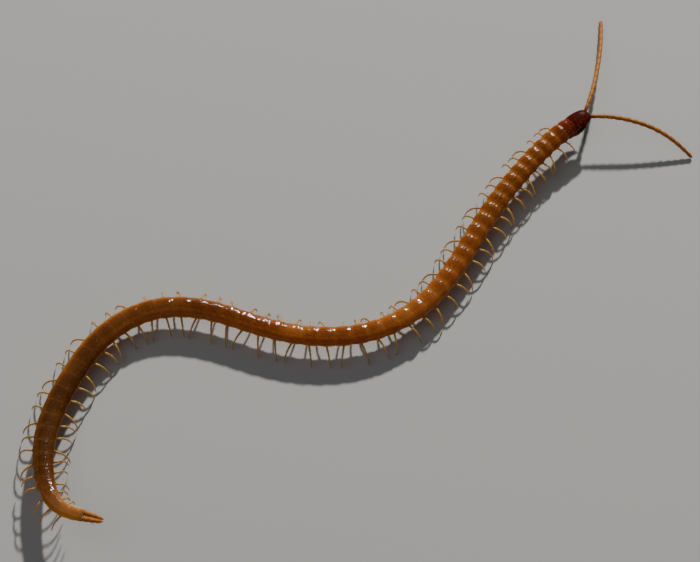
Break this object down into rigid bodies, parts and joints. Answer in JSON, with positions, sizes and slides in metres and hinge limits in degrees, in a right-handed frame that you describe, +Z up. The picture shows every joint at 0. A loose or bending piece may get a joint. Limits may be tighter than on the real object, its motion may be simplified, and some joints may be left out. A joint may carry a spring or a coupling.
{
  "type": "yellow earth centipede, still life-size model",
  "caption": "Long slender soil centipede, amber with a dark red-brown head, standing in an S-bend on its short legs, antennae down, tail end lifted.",
  "frame": {"origin": "on the floor under the middle of the whole model's box", "axes": "+Z up from the floor; +X to the right and +Y away in the view from above, head at +X +Y and tail at -X -Y"},
  "size_m": [0.0339, 0.032, 0.0025],
  "materials": {
    "head_shield": "glossy dark red-brown cuticle",
    "amber_cuticle": "glossy, slightly translucent amber cuticle",
    "antenna_cuticle": "satin amber cuticle with fine bristles",
    "claw_cuticle": "glossy red-brown cuticle with black tips",
    "leg_cuticle": "glossy pale yellow translucent cuticle"
  },
  "bodies": {
    "root": {"head": "head_shield", "forcipule_left": "claw_cuticle", "forcipule_right": "claw_cuticle", "antenna_left": "antenna_cuticle", "antenna_right": "antenna_cuticle", "trunk_1": "amber_cuticle", "trunk_2": "amber_cuticle", "trunk_3": "amber_cuticle", "trunk_4": "amber_cuticle", "trunk_5": "amber_cuticle", "trunk_6": "amber_cuticle", "trunk_7": "amber_cuticle", "trunk_8": "amber_cuticle", "trunk_9": "amber_cuticle", "last_segment": "amber_cuticle", "last_leg_left": "leg_cuticle", "last_leg_right": "leg_cuticle"}
  },
  "joints": []
}
